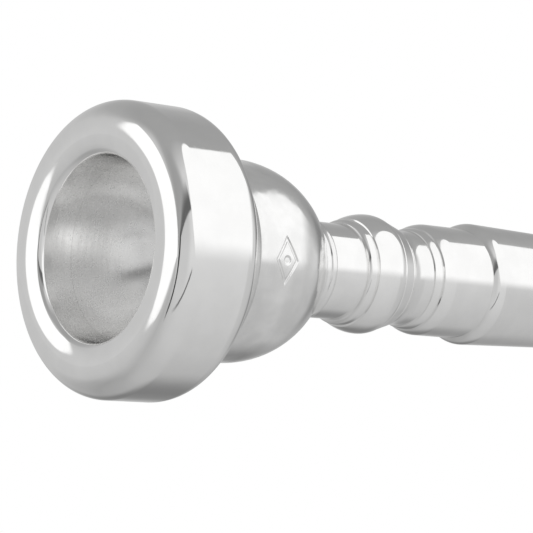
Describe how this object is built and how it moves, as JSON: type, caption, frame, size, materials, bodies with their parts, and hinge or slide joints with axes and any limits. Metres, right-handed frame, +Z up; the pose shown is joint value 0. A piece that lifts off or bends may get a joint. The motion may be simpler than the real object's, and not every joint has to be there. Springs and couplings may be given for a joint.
{
  "type": "trumpet mouthpiece",
  "caption": "Silver-plated brass cup mouthpiece with a screw rim, bowl-shaped cup, turned bead and collar, and a tapered shank.",
  "frame": {"origin": "centre of the small end of the shank, on the mouthpiece's axis", "axes": "+X along the axis from the rim towards the small end of the shank, so the rim faces -X; +Z up; the stamp on the bowl faces -Y"},
  "size_m": [0.088, 0.0268, 0.0268],
  "materials": {
    "silver_plated_brass": "polished silver plate over brass",
    "seal_rubber": "matt black nitrile"
  },
  "bodies": {
    "shank": {"backbore_shank": "silver_plated_brass"},
    "shank_seal": {"backbore_o_ring": "seal_rubber"},
    "cup": {"cup": "silver_plated_brass"},
    "rim_seal": {"rim_o_ring": "seal_rubber"},
    "rim": {"rim": "silver_plated_brass"}
  },
  "joints": [
    {"name": "cup_turn", "type": "hinge", "parent": "shank", "child": "shank_seal", "pos_m": [-0.06452, 0, 0], "axis": [-1, 0, 0], "range_deg": [0, 2525]},
    {"name": "cup_travel", "type": "slide", "parent": "shank_seal", "child": "cup", "axis": [-1, 0, 0], "range_m": [0, 0.00525]},
    {"name": "rim_turn", "type": "hinge", "parent": "cup", "child": "rim_seal", "pos_m": [-0.0797, 0, 0], "axis": [-1, 0, 0], "range_deg": [0, 1625]},
    {"name": "rim_travel", "type": "slide", "parent": "rim_seal", "child": "rim", "axis": [-1, 0, 0], "range_m": [0, 0.00337]}
  ],
  "couplings": [
    {"joint": "cup_turn", "follows": "cup_travel", "rad_per_m": 8377.6},
    {"joint": "rim_turn", "follows": "rim_travel", "rad_per_m": 8377.6}
  ]
}
